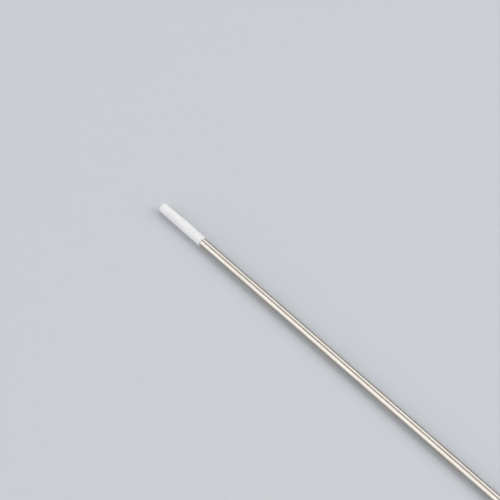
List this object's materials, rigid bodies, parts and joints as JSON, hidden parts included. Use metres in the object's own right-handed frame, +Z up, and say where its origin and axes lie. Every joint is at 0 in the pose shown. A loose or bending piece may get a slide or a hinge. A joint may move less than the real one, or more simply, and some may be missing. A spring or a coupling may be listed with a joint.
{
  "type": "tig tungsten electrode",
  "caption": "Slim ground tungsten rod for arc welding, cut square at both ends, with a thick dipped coat of white paint over one rounded end.",
  "frame": {"origin": "on the rod's axis at the collar, where the white coat ends and the bare shank begins", "axes": "+X along the bare shank to the plain end, so the white end is at -X; +Z up; Y and Z are alike, because the electrode is round"},
  "size_m": [0.1502, 0.0018, 0.0018],
  "materials": {
    "ground_tungsten": "centreless ground, bright, with a fine grain round the rod",
    "white_paint": "dipped enamel paint, satin"
  },
  "bodies": {
    "root": {"tungsten_rod": "ground_tungsten", "white_end_coat": "white_paint"}
  },
  "joints": []
}
